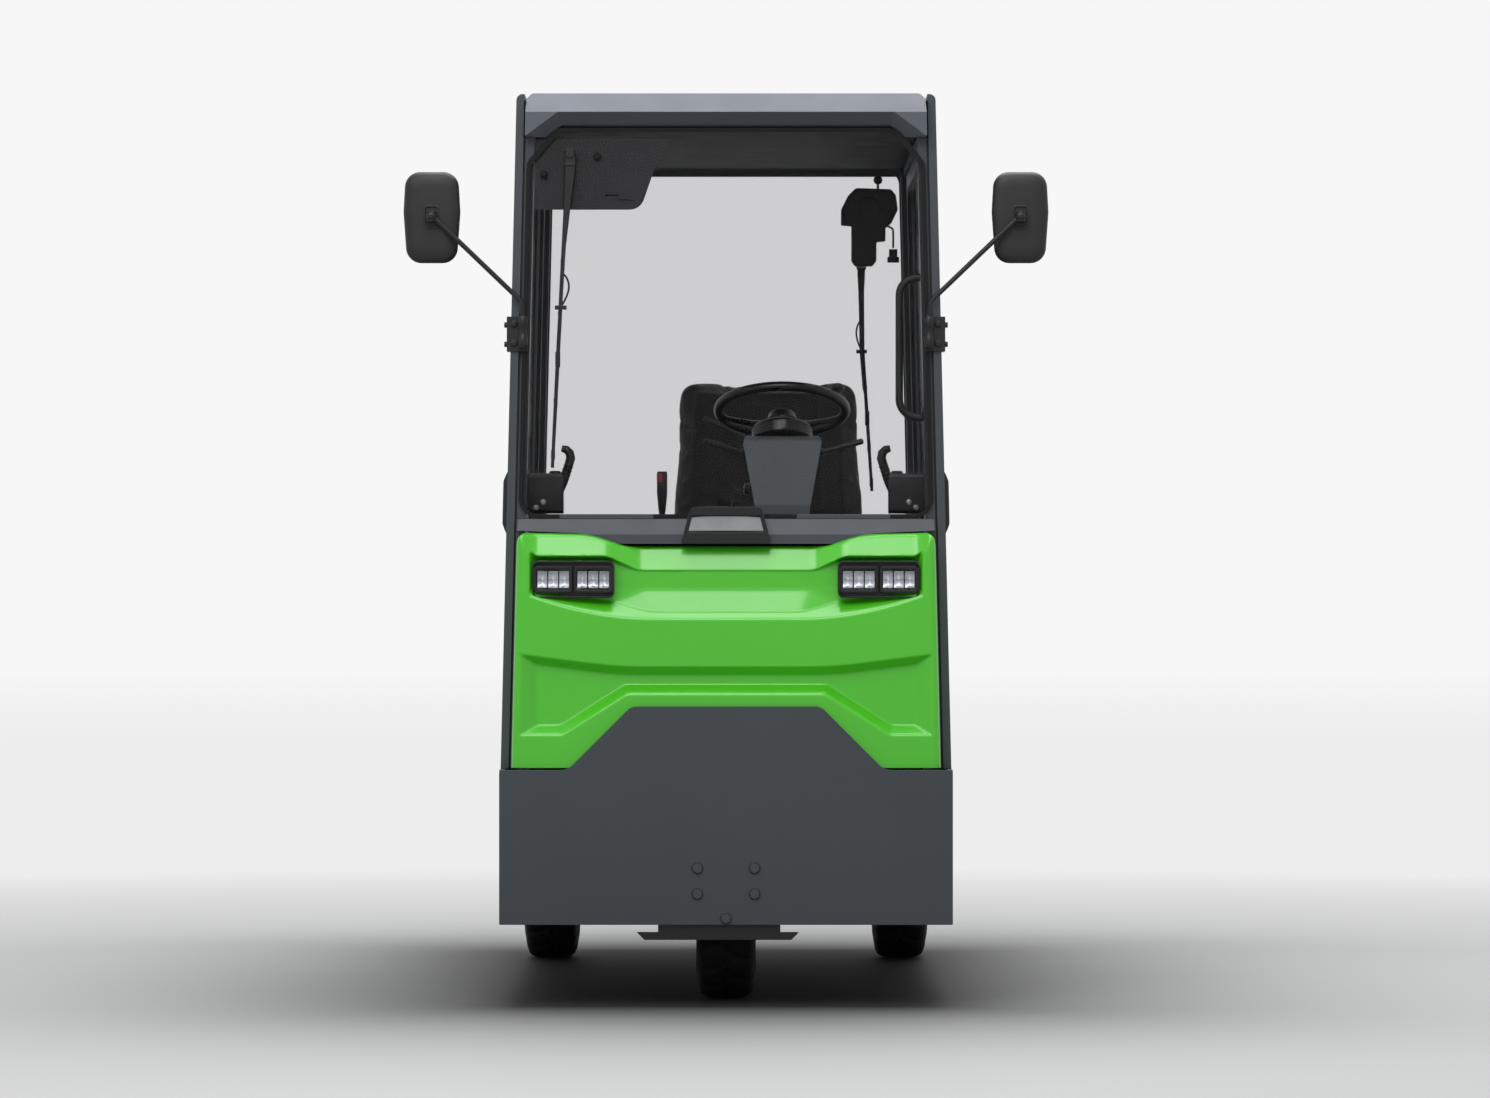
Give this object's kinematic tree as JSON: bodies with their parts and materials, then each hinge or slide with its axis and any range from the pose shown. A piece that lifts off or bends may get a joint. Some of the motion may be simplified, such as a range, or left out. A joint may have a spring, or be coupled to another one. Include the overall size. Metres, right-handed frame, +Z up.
{
  "type": "three-wheel seated electric tow tractor with closed cab",
  "caption": "Compact three-wheel baggage tug with a closed two-door cab, steered front wheel, driven rear axle, mirrors, flat rear deck and a two-height drawbar coupling.",
  "frame": {"origin": "centre of the overall footprint, on the floor under the wheels", "axes": "+X to the driver's left, -Y forward, +Y to the coupling, +Z up"},
  "size_m": [1.4312, 1.96, 2.022],
  "materials": {
    "frame_steel": "satin black-grey paint on heavy steel",
    "bumper_grey": "satin dark slate paint on plate steel",
    "cab_grey": "satin slate grey paint on folded steel",
    "roof_grey": "semi-gloss slate grey moulding",
    "lime_panel": "glossy lime green moulding",
    "black_plastic": "grained black moulding",
    "black_metal": "satin black powder coat",
    "rubber_seal": "matt black rubber",
    "cab_glass": "clear flat safety glass, faint grey",
    "lamp_lens": "silver-grey lens",
    "reflector": "bright reflector",
    "tail_red": "red lens",
    "tyre_black": "black tread rubber",
    "rim_grey": "grey painted disc wheel",
    "bare_steel": "zinc plated steel",
    "axle_iron": "painted casting",
    "seat_vinyl": "black grained vinyl",
    "battery_case": "dark painted steel tray"
  },
  "bodies": {
    "chassis": {"chassis_rails": "frame_steel", "cross_members": "frame_steel", "side_sills": "bumper_grey", "steering_bridge": "frame_steel", "rear_axle": "axle_iron", "drive_motor": "axle_iron", "battery": "battery_case", "battery_hood": "cab_grey", "cab_floor": "black_metal", "front_bumper": "bumper_grey", "front_tow_plate": "black_metal", "front_panel": "lime_panel", "head_lamps": "black_plastic", "lamp_reflectors": "reflector", "cowl": "cab_grey", "centre_lamp": "black_plastic", "centre_lamp_lens": "lamp_lens", "cab_pillars": "cab_grey", "roof": "roof_grey", "windshield": "cab_glass", "windshield_seal": "rubber_seal", "rear_wall": "black_metal", "rear_window": "cab_glass", "dash_panel": "black_plastic", "wiper_cover": "black_plastic", "front_wiper": "black_metal", "rear_wiper": "black_metal", "rear_wiper_motor": "black_plastic", "seat_pan": "black_metal", "seat_cushion": "seat_vinyl", "seat_back": "seat_vinyl", "belt_buckle": "black_plastic", "steering_console": "cab_grey", "console_controls": "black_plastic", "pedals": "black_metal", "grab_handle": "black_metal", "mirror_arms": "black_metal", "mirror_heads": "black_plastic", "door_hinge_pins": "black_metal", "rear_body": "bumper_grey", "tail_lamps": "tail_red", "tow_jaw": "frame_steel"},
    "front_fork": {"steering_fork": "frame_steel"},
    "front_wheel": {"front_tyre": "tyre_black", "front_rim": "rim_grey"},
    "rear_wheel_left": {"rear_tyre_left": "tyre_black", "rear_rim_left": "rim_grey"},
    "rear_wheel_right": {"rear_tyre_right": "tyre_black", "rear_rim_right": "rim_grey"},
    "steering_wheel": {"steering_wheel": "black_plastic"},
    "door_left": {"door_frame_left": "cab_grey", "door_glass_left": "cab_glass", "door_latch_left": "black_plastic"},
    "door_right": {"door_frame_right": "cab_grey", "door_glass_right": "cab_glass", "door_latch_right": "black_plastic"},
    "rear_lid": {"rear_lid": "bumper_grey"},
    "tow_pin": {"tow_pin": "bare_steel"}
  },
  "joints": [
    {"name": "front_steer", "type": "hinge", "parent": "chassis", "child": "front_fork", "pos_m": [0, -0.684, 0.229], "axis": [0, 0, 1], "range_deg": [-75, 75]},
    {"name": "front_wheel_spin", "type": "hinge", "parent": "front_fork", "child": "front_wheel", "pos_m": [0, -0.684, 0.229], "axis": [1, 0, 0], "continuous": true},
    {"name": "rear_wheel_spin_left", "type": "hinge", "parent": "chassis", "child": "rear_wheel_left", "pos_m": [0.432, 0.616, 0.229], "axis": [1, 0, 0], "continuous": true},
    {"name": "rear_wheel_spin_right", "type": "hinge", "parent": "chassis", "child": "rear_wheel_right", "pos_m": [-0.432, 0.616, 0.229], "axis": [1, 0, 0], "continuous": true},
    {"name": "steering_wheel_turn", "type": "hinge", "parent": "chassis", "child": "steering_wheel", "pos_m": [0.13, -0.33, 1.335], "axis": [0, 0.342, 0.9397], "range_deg": [-720, 720]},
    {"name": "door_left_swing", "type": "hinge", "parent": "chassis", "child": "door_left", "pos_m": [0.49206, 0.238, 1.24], "axis": [-0.0236, 0, 0.9997], "range_deg": [0, 85]},
    {"name": "door_right_swing", "type": "hinge", "parent": "chassis", "child": "door_right", "pos_m": [-0.49206, 0.238, 1.24], "axis": [-0.0236, 0, -0.9997], "range_deg": [0, 85]},
    {"name": "rear_lid_lift", "type": "hinge", "parent": "chassis", "child": "rear_lid", "pos_m": [0, 0.352, 0.8003], "axis": [1, 0, 0], "range_deg": [0, 65]},
    {"name": "tow_pin_lift", "type": "slide", "parent": "chassis", "child": "tow_pin", "axis": [0, 0, 1], "range_m": [0, 0.13]}
  ],
  "couplings": [
    {"joint": "steering_wheel_turn", "follows": "front_steer", "ratio": 9.6}
  ]
}
